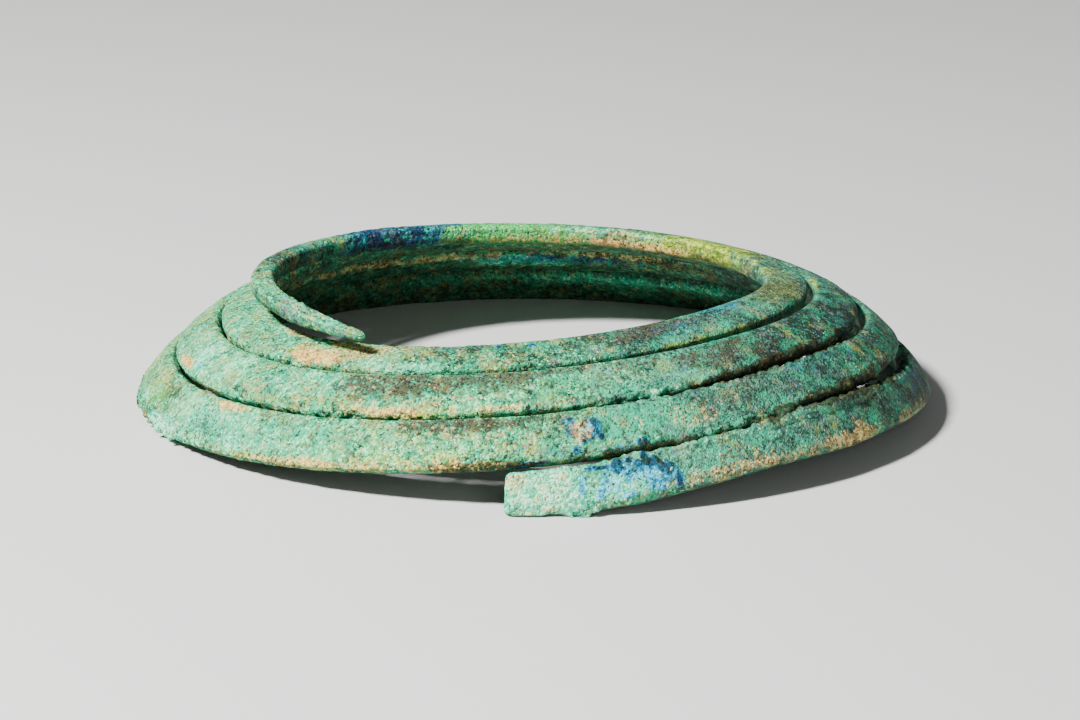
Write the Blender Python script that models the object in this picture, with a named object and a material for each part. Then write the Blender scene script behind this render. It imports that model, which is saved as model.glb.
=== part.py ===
"""Coiled armlet of bronze: one strip wound clockwise, from a thin tip at the top down and out to a blunt end.

Lengths are in metres, +Z is up, the armlet lies on the plane z = 0, and the front of it faces -Y.
A place along the strip is given in turns from the thin tip.
"""

import math

import bmesh
import bpy
from mathutils import Vector

MM = 0.001

# Winding, seen from above
TURNS = 3.9165
TIP_AZIMUTH = math.radians(237.0)
STATIONS_PER_TURN = 72

# Outer edge of the strip: distance from the axis
EDGE_RADIUS = 42.2 * MM
PITCH = 10.4 * MM
PITCH_LOSS = 0.77 * MM
OVAL = 0.9 * MM
OVAL_AZIMUTH = math.radians(-12.0)

# Outer edge of the strip: height above the table
EDGE_HEIGHT = 20.4 * MM
DROP = 2.04 * MM
DROP_GROWTH = 1.1 * MM
LEAN = math.radians(2.5)
LEAN_AZIMUTH = math.radians(-34.0)
SADDLE = 0.85 * MM
SADDLE_AZIMUTH = math.radians(-61.0)
KINK = 1.0 * MM
KINK_AZIMUTH = math.radians(-35.0)
KINK_SPREAD = math.radians(31.0)

# First part of a turn, which springs up and out over the turn below it
SPRING_OUT = 8.9 * MM
SPRING_OUT_TURNS = 0.4
SPRING_OUT_POWER = 1.6
SPRING_UP = 4.8 * MM
SPRING_UP_TURNS = 0.42
SPRING_UP_FULL_TURNS = 0.08
TIP_DROOP = 1.9 * MM
TIP_DROOP_TURNS = 0.1

# Last part of a turn, which arches clear of the table and comes down on a short foot at the blunt end
END_ARCH = 2.1 * MM
END_ARCH_TURNS = 0.13
END_FOOT_TURNS = 0.02
END_PINCH = 1.7 * MM
END_PINCH_TURNS = 0.26

# Lumpy crust that swells the outer edge on one side of the widest turn
CRUST = 0.65 * MM
CRUST_TURN = 3.20
CRUST_SPREAD_TURNS = 0.09

# Cross-section: a flat strip with two crowned faces and round edges
STRIP_WIDTH = 8.0 * MM
WIDTH_GROWTH = 2.0 * MM
STRIP_THICKNESS = 4.0 * MM
INNER_SHARE = 0.54
EDGE_ROUNDNESS = 2.5
SECTION_POINTS = 14
TIP_WIDTH = 1.2 * MM
TIP_THICKNESS = 1.4 * MM
WIDTH_TAPER_TURNS = 0.65
THICKNESS_TAPER_TURNS = 0.12
THINNEST = 0.2 * MM
FIRST_SLOPE = math.radians(6.0)
SLOPE_PER_TURN = math.radians(9.0)

# Seams between neighbouring turns, which gape where the coil is raised
SEAM = 0.35 * MM
GAPE = 0.75 * MM
GAPE_AZIMUTH = math.radians(-18.0)
GAPE_SHARPNESS = 4
SEAM_FROM_TURN = 1.1
SEAM_FULL_TURN = 1.5

# Ends and resting flat
TIP_ROUNDING = 1.6 * MM
END_ROUNDING = 1.1 * MM
ROUNDING_STEPS = 4
REST_SOFTNESS = 0.3 * MM
REST_WEAR = 0.15 * MM

PATINA_COLOUR = (0.16, 0.36, 0.28, 1.0)
PATINA_ROUGHNESS = 0.75
PATINA_METALLIC = 0.15


def ease(value):
    """Smooth step from 0 to 1."""
    value = min(max(value, 0.0), 1.0)
    return value * value * (3.0 - 2.0 * value)


def azimuth(turn):
    return TIP_AZIMUTH - 2.0 * math.pi * turn


def edge_radius(turn):
    """Distance of the strip's outer edge from the axis."""
    radius = EDGE_RADIUS + PITCH * turn - PITCH_LOSS * turn * turn
    radius += OVAL * math.cos(2.0 * (azimuth(turn) - OVAL_AZIMUTH))
    radius += SPRING_OUT * max(0.0, 1.0 - turn / SPRING_OUT_TURNS) ** SPRING_OUT_POWER
    radius += CRUST * math.exp(-(((turn - CRUST_TURN) / CRUST_SPREAD_TURNS) ** 2))
    pinch = max(0.0, 1.0 - (TURNS - turn) / END_PINCH_TURNS)
    return radius - END_PINCH * pinch * pinch


def edge_height(turn):
    """Height of the strip's outer edge, never below the table."""
    height = EDGE_HEIGHT - DROP * turn - DROP_GROWTH * turn * turn
    height += edge_radius(turn) * math.tan(LEAN) * math.cos(azimuth(turn) - LEAN_AZIMUTH)
    height += SADDLE * math.cos(2.0 * (azimuth(turn) - SADDLE_AZIMUTH))
    off_kink = math.remainder(azimuth(turn) - KINK_AZIMUTH, 2.0 * math.pi) / KINK_SPREAD
    height += KINK * turn * math.exp(-off_kink * off_kink)
    height += SPRING_UP * ease((SPRING_UP_TURNS - turn) / (SPRING_UP_TURNS - SPRING_UP_FULL_TURNS))
    height -= TIP_DROOP * max(0.0, 1.0 - turn / TIP_DROOP_TURNS) ** 2
    resting = 0.5 * (height + math.hypot(height, REST_SOFTNESS)) - REST_WEAR
    along = 1.0 - (TURNS - END_FOOT_TURNS - turn) / END_ARCH_TURNS
    along = min(max(along, 0.0), 1.0)
    return resting + END_ARCH * math.sin(math.pi * along)


def outer_edge(turn):
    """Outer edge as a point in the upright half plane: distance from the axis, height."""
    return Vector((edge_radius(turn), edge_height(turn)))


def free_inner_edge(turn):
    """Inner edge of the first turns, set by the strip's own width and slope."""
    taper = math.sqrt(min(turn / WIDTH_TAPER_TURNS, 1.0))
    width = TIP_WIDTH + (STRIP_WIDTH - TIP_WIDTH) * taper
    width += WIDTH_GROWTH * max(0.0, turn - WIDTH_TAPER_TURNS)
    slope = FIRST_SLOPE + SLOPE_PER_TURN * turn
    return outer_edge(turn) + width * Vector((-math.cos(slope), math.sin(slope)))


def seam_gap(turn):
    """Gap to the turn above, wider on the gaping side and lower down."""
    facing = max(0.0, math.cos(azimuth(turn) - GAPE_AZIMUTH))
    return SEAM + GAPE * (turn - SEAM_FROM_TURN) * facing ** GAPE_SHARPNESS


def inner_edge(turn):
    """Inner edge of the strip, which meets the outer edge of the turn above it."""
    free = free_inner_edge(turn)
    if turn <= SEAM_FROM_TURN:
        return free
    above = outer_edge(turn - 1.0)
    chord = (above - outer_edge(turn)).normalized()
    met = above - seam_gap(turn) * chord
    return free.lerp(met, ease((turn - SEAM_FROM_TURN) / (SEAM_FULL_TURN - SEAM_FROM_TURN)))


def strip_thickness(turn):
    taper = math.sqrt(min(turn / THICKNESS_TAPER_TURNS, 1.0))
    return TIP_THICKNESS + (STRIP_THICKNESS - TIP_THICKNESS) * taper


def rounded(side, reach):
    """One coordinate of a rounded oblong, from the sine or cosine of the angle round it."""
    return math.copysign(abs(side) ** (2.0 / EDGE_ROUNDNESS), side) * reach


def section(turn, inset):
    """Closed ring of points across the strip, drawn in by the inset near its ends."""
    outer, inner = outer_edge(turn), inner_edge(turn)
    chord = inner - outer
    along = chord.normalized()
    across = Vector((along.y, -along.x))
    middle = (outer + inner) / 2.0
    half_width = max(chord.length / 2.0 - inset, THINNEST / 2.0)
    thickness = max(strip_thickness(turn) - 2.0 * inset, THINNEST)
    direction = azimuth(turn)
    ring = []
    for index in range(SECTION_POINTS):
        angle = 2.0 * math.pi * index / SECTION_POINTS
        side = math.sin(angle)
        share = INNER_SHARE if side > 0.0 else 1.0 - INNER_SHARE
        place = middle + along * rounded(math.cos(angle), half_width)
        place -= across * rounded(side, thickness * share)
        height = max(place.y, 0.0)
        ring.append(Vector((place.x * math.cos(direction), place.x * math.sin(direction), height)))
    return ring


def stations():
    """Places along the strip and how far the section is drawn in there to round its ends."""
    places = []
    tip_turns = TIP_ROUNDING / (2.0 * math.pi * edge_radius(0.0))
    end_turns = END_ROUNDING / (2.0 * math.pi * edge_radius(TURNS))
    for step in range(ROUNDING_STEPS):
        angle = 0.5 * math.pi * step / ROUNDING_STEPS
        inset = (1.0 - math.sin(angle)) * TIP_THICKNESS / 2.0
        places.append((tip_turns * (1.0 - math.cos(angle)), inset))
    count = round((TURNS - tip_turns - end_turns) * STATIONS_PER_TURN)
    for step in range(count + 1):
        places.append((tip_turns + (TURNS - tip_turns - end_turns) * step / count, 0.0))
    for step in reversed(range(ROUNDING_STEPS)):
        angle = 0.5 * math.pi * step / ROUNDING_STEPS
        inset = (1.0 - math.sin(angle)) * END_ROUNDING
        places.append((TURNS - end_turns * (1.0 - math.cos(angle)), inset))
    return places


def strip_mesh():
    """Loft through every section, closed at the tip and at the blunt end."""
    mesh = bmesh.new()
    rings = [[mesh.verts.new(point) for point in section(*place)] for place in stations()]
    for ring, following in zip(rings, rings[1:]):
        for index in range(SECTION_POINTS):
            after = (index + 1) % SECTION_POINTS
            mesh.faces.new((ring[index], ring[after], following[after], following[index]))
    mesh.faces.new(rings[0])
    mesh.faces.new(rings[-1])
    bmesh.ops.recalc_face_normals(mesh, faces=mesh.faces)
    return mesh


def centre_on_table(mesh):
    """Bring the middle of the outline, seen from above, to the origin."""
    for axis in (0, 1):
        values = [vert.co[axis] for vert in mesh.verts]
        middle = (min(values) + max(values)) / 2.0
        for vert in mesh.verts:
            vert.co[axis] -= middle


def patinated_bronze():
    material = bpy.data.materials.new("patinated_bronze")
    material.use_nodes = True
    shader = material.node_tree.nodes["Principled BSDF"]
    shader.inputs["Base Color"].default_value = PATINA_COLOUR
    shader.inputs["Roughness"].default_value = PATINA_ROUGHNESS
    shader.inputs["Metallic"].default_value = PATINA_METALLIC
    return material


def coiled_armlet():
    mesh = strip_mesh()
    centre_on_table(mesh)
    data = bpy.data.meshes.new("coiled_armlet")
    mesh.to_mesh(data)
    mesh.free()
    data.shade_smooth()
    data.set_sharp_from_angle(angle=math.radians(50.0))
    data.materials.append(patinated_bronze())
    return bpy.data.objects.new("coiled_armlet", data)


for leftover in list(bpy.data.objects):
    bpy.data.objects.remove(leftover, do_unlink=True)
armlet_collection = bpy.data.collections.new("Coiled armlet")
bpy.context.scene.collection.children.link(armlet_collection)
armlet_collection.objects.link(coiled_armlet())
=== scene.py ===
"""Looks of the coiled armlet: the corroded surface of the strip, its patina, the floor, lights and camera.

Lengths are in metres unless a name ends in _mm or _MM. A place on the strip is given in turns from the thin
tip and as an angle round its section: 0 at the inner edge, 180 degrees at the outer edge, and 180 to 360 on
the outer face.
"""

import math

import bpy
import numpy as np
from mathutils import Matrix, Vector


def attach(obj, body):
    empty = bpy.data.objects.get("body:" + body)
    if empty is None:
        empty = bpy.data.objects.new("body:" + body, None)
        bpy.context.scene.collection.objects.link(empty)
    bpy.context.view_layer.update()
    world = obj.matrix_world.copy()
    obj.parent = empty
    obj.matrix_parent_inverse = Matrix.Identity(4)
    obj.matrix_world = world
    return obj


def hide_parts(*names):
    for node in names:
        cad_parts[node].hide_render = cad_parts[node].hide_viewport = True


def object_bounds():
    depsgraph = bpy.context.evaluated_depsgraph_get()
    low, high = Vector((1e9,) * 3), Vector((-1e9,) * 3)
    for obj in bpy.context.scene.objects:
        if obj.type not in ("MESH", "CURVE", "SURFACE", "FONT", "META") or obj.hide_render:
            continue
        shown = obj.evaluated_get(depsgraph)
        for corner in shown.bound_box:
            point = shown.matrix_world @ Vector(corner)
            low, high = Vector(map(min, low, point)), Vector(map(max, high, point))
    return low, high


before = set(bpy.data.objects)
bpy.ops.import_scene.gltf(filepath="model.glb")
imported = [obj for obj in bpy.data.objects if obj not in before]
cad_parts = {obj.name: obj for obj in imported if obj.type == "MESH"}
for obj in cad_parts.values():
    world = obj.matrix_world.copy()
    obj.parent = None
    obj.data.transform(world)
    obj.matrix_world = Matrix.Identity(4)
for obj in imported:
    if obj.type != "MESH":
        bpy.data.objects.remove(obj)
cad_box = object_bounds()

MM = 0.001

# The strip as it is in the solid model
TURNS = 3.9165
TIP_AZIMUTH = math.radians(237.0)
MIDDLE_OF_OUTLINE = (1.0894 * MM, -0.5540 * MM)

EDGE_RADIUS = 42.2 * MM
PITCH = 10.4 * MM
PITCH_LOSS = 0.77 * MM
OVAL = 0.9 * MM
OVAL_AZIMUTH = math.radians(-12.0)

EDGE_HEIGHT = 20.4 * MM
DROP = 2.04 * MM
DROP_GROWTH = 1.1 * MM
LEAN = math.radians(2.5)
LEAN_AZIMUTH = math.radians(-34.0)
SADDLE = 0.85 * MM
SADDLE_AZIMUTH = math.radians(-61.0)
KINK = 1.0 * MM
KINK_AZIMUTH = math.radians(-35.0)
KINK_SPREAD = math.radians(31.0)

SPRING_OUT = 8.9 * MM
SPRING_OUT_TURNS = 0.4
SPRING_OUT_POWER = 1.6
SPRING_UP = 4.8 * MM
SPRING_UP_TURNS = 0.42
SPRING_UP_FULL_TURNS = 0.08
TIP_DROOP = 1.9 * MM
TIP_DROOP_TURNS = 0.1

END_ARCH = 2.1 * MM
END_ARCH_TURNS = 0.13
END_FOOT_TURNS = 0.02
END_PINCH = 1.7 * MM
END_PINCH_TURNS = 0.26

CRUST = 0.65 * MM
CRUST_TURN = 3.20
CRUST_SPREAD_TURNS = 0.09

STRIP_WIDTH = 8.0 * MM
WIDTH_GROWTH = 2.0 * MM
STRIP_THICKNESS = 4.0 * MM
INNER_SHARE = 0.54
EDGE_ROUNDNESS = 2.5
OUTER_EDGE_ROUNDNESS = 3.5
TIP_WIDTH = 1.2 * MM
TIP_THICKNESS = 1.4 * MM
WIDTH_TAPER_TURNS = 0.65
THICKNESS_TAPER_TURNS = 0.12
THINNEST = 0.2 * MM
FIRST_SLOPE = math.radians(6.0)
SLOPE_PER_TURN = math.radians(9.0)

SEAM = 0.35 * MM
GAPE = 0.75 * MM
GAPE_AZIMUTH = math.radians(-18.0)
GAPE_SHARPNESS = 4
SEAM_FROM_TURN = 1.1
SEAM_FULL_TURN = 1.5

TIP_ROUNDING = 1.6 * MM
END_ROUNDING = 1.1 * MM
ROUNDING_STEPS = 8
END_FACE_STEPS = 5
REST_SOFTNESS = 0.3 * MM
REST_WEAR = 0.15 * MM

# The surface mesh
PIECE_ENDS = {"top_turn": 1.36, "second_turn": 2.41, "third_turn": 3.2, "wide_turn": TURNS}
STATION_STEP = 0.36 * MM
OUTER_FACE_POINTS = 56
INNER_FACE_POINTS = 26
SKIN_INSET = 0.12 * MM


def ease(value):
    """Smooth step from 0 to 1."""
    value = np.clip(value, 0.0, 1.0)
    return value * value * (3.0 - 2.0 * value)


def azimuth(turn):
    return TIP_AZIMUTH - 2.0 * math.pi * turn


def edge_radius(turn):
    radius = EDGE_RADIUS + PITCH * turn - PITCH_LOSS * turn**2
    radius = radius + OVAL * np.cos(2.0 * (azimuth(turn) - OVAL_AZIMUTH))
    radius = radius + SPRING_OUT * np.maximum(0.0, 1.0 - turn / SPRING_OUT_TURNS) ** SPRING_OUT_POWER
    radius = radius + CRUST * np.exp(-(((turn - CRUST_TURN) / CRUST_SPREAD_TURNS) ** 2))
    pinch = np.maximum(0.0, 1.0 - (TURNS - turn) / END_PINCH_TURNS)
    return radius - END_PINCH * pinch**2


def edge_height(turn):
    height = EDGE_HEIGHT - DROP * turn - DROP_GROWTH * turn**2
    height = height + edge_radius(turn) * math.tan(LEAN) * np.cos(azimuth(turn) - LEAN_AZIMUTH)
    height = height + SADDLE * np.cos(2.0 * (azimuth(turn) - SADDLE_AZIMUTH))
    off_kink = azimuth(turn) - KINK_AZIMUTH
    off_kink = np.remainder(off_kink + math.pi, 2.0 * math.pi) - math.pi
    height = height + KINK * turn * np.exp(-((off_kink / KINK_SPREAD) ** 2))
    height = height + SPRING_UP * ease((SPRING_UP_TURNS - turn) / (SPRING_UP_TURNS - SPRING_UP_FULL_TURNS))
    height = height - TIP_DROOP * np.maximum(0.0, 1.0 - turn / TIP_DROOP_TURNS) ** 2
    resting = 0.5 * (height + np.hypot(height, REST_SOFTNESS)) - REST_WEAR
    along = np.clip(1.0 - (TURNS - END_FOOT_TURNS - turn) / END_ARCH_TURNS, 0.0, 1.0)
    return resting + END_ARCH * np.sin(math.pi * along)


def outer_edge(turn):
    """Distance from the axis and height of the outer edge, side by side."""
    return np.stack([edge_radius(turn), edge_height(turn)], axis=-1)


def free_inner_edge(turn):
    taper = np.sqrt(np.minimum(turn / WIDTH_TAPER_TURNS, 1.0))
    width = TIP_WIDTH + (STRIP_WIDTH - TIP_WIDTH) * taper
    width = width + WIDTH_GROWTH * np.maximum(0.0, turn - WIDTH_TAPER_TURNS)
    slope = FIRST_SLOPE + SLOPE_PER_TURN * turn
    return outer_edge(turn) + np.stack([-width * np.cos(slope), width * np.sin(slope)], axis=-1)


def seam_gap(turn):
    facing = np.maximum(0.0, np.cos(azimuth(turn) - GAPE_AZIMUTH))
    return SEAM + GAPE * np.maximum(0.0, turn - SEAM_FROM_TURN) * facing**GAPE_SHARPNESS


def inner_edge(turn):
    """Inner edge of the strip, which meets the outer edge of the turn above it."""
    above = outer_edge(np.maximum(turn - 1.0, 0.0))
    chord = above - outer_edge(turn)
    # No turn lies above the tip, so the chord has no length there
    chord = chord / np.maximum(np.linalg.norm(chord, axis=-1, keepdims=True), 0.001 * MM)
    met = above - seam_gap(turn)[..., None] * chord
    share = ease((turn - SEAM_FROM_TURN) / (SEAM_FULL_TURN - SEAM_FROM_TURN))[..., None]
    return free_inner_edge(turn) * (1.0 - share) + met * share


def strip_thickness(turn):
    taper = np.sqrt(np.minimum(turn / THICKNESS_TAPER_TURNS, 1.0))
    return TIP_THICKNESS + (STRIP_THICKNESS - TIP_THICKNESS) * taper


def rounded(side, roundness):
    """One coordinate of a rounded oblong, from the sine or cosine of the angle round it."""
    return np.sign(side) * np.abs(side) ** (2.0 / roundness)


def strip_surface(turn, angle, inset):
    """Points on the smooth strip, one row for each turn and one column for each angle."""
    outer, inner = outer_edge(turn), inner_edge(turn)
    chord = inner - outer
    width = np.linalg.norm(chord, axis=-1)
    along = chord / width[:, None]
    across = np.stack([-along[:, 1], along[:, 0]], axis=-1)
    middle = (outer + inner) / 2.0
    half_width = np.maximum(width / 2.0 - inset, THINNEST / 2.0)
    thickness = np.maximum(strip_thickness(turn) - 2.0 * inset, THINNEST)
    inner_face = np.sin(angle) > 0.0
    share = np.where(inner_face, INNER_SHARE, 1.0 - INNER_SHARE)
    roundness = np.where(inner_face, EDGE_ROUNDNESS, OUTER_EDGE_ROUNDNESS)
    reach_along = half_width[:, None] * rounded(np.cos(angle), roundness)
    reach_across = thickness[:, None] * share * rounded(np.sin(angle), roundness)
    place = middle[:, None] + along[:, None] * reach_along[..., None]
    place = place + across[:, None] * reach_across[..., None]
    direction = azimuth(turn)[:, None]
    return np.stack(
        [
            place[..., 0] * np.cos(direction) - MIDDLE_OF_OUTLINE[0],
            place[..., 0] * np.sin(direction) - MIDDLE_OF_OUTLINE[1],
            place[..., 1],
        ],
        axis=-1,
    )


def surface_normals(points):
    """Outward directions of a surface whose rows close into rings."""
    down_the_strip = np.gradient(points, axis=0)
    round_it = np.roll(points, -1, axis=1) - np.roll(points, 1, axis=1)
    normals = np.cross(round_it, down_the_strip)
    return normals / np.maximum(np.linalg.norm(normals, axis=-1, keepdims=True), 1e-12)


# Repeatable roughness in three dimensions, stirred up from whole numbers by large odd ones
STIR_PLACE = (73856093, 19349663, 83492791)
STIR_SEED = 40503
STIR_START = 977
STIR_FIRST = 2246822519
STIR_SECOND = 3266489917
LOW_32_BITS = 0xFFFFFFFF


def scatter(cells, seed):
    """Numbers from 0 to 1 that look random, the same ones each time for a whole-number place."""
    x, y, z = (cells[..., axis] * STIR_PLACE[axis] for axis in range(3))
    value = (x ^ y ^ z ^ (seed * STIR_SEED + STIR_START)) & LOW_32_BITS
    value = ((value ^ (value >> 15)) * STIR_FIRST) & LOW_32_BITS
    value = ((value ^ (value >> 13)) * STIR_SECOND) & LOW_32_BITS
    return (value ^ (value >> 16)) / (LOW_32_BITS + 1.0)


def lumps(points, size_mm, seed, layers=2):
    """Smooth unevenness from -1 to 1, with lumps of about the size given."""
    total, reach, strength = 0.0, 0.0, 1.0
    scaled = points / (size_mm * MM)
    for layer in range(layers):
        corner = np.floor(scaled).astype(np.int64)
        blend = ease(scaled - corner)
        level = 0.0
        for step in np.ndindex(2, 2, 2):
            share = np.abs(1 - np.array(step) - blend)
            weight = share[..., 0] * share[..., 1] * share[..., 2]
            level = level + weight * scatter(corner + np.array(step), seed + layer)
        total = total + strength * (2.0 * level - 1.0)
        reach += strength
        strength *= 0.5
        scaled = scaled * 2.03
    return total / reach


def grains(points, size_mm, seed):
    """How far the nearest grain's middle is, as a share of the size, and that grain's number from 0 to 1."""
    scaled = points / (size_mm * MM)
    corner = np.floor(scaled).astype(np.int64)
    nearest = np.full(points.shape[:-1], 9.0)
    chosen = np.zeros(points.shape[:-1])
    for x, y, z in np.ndindex(3, 3, 3):
        cell = corner + np.array([x - 1, y - 1, z - 1])
        middle = cell + np.stack([scatter(cell, seed + axis) for axis in range(3)], axis=-1)
        distance = np.linalg.norm(scaled - middle, axis=-1)
        closer = distance < nearest
        nearest = np.where(closer, distance, nearest)
        chosen = np.where(closer, scatter(cell, seed + 3), chosen)
    return nearest, chosen


# Where the corrosion is of a kind, and where shade is painted: turn, place across from -1 at the inner edge
# to 1 at the outer edge, half length and half width in millimetres, strength
OUTSIDE, INSIDE, ALL_ROUND = "outside", "inside", "all round"

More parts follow.
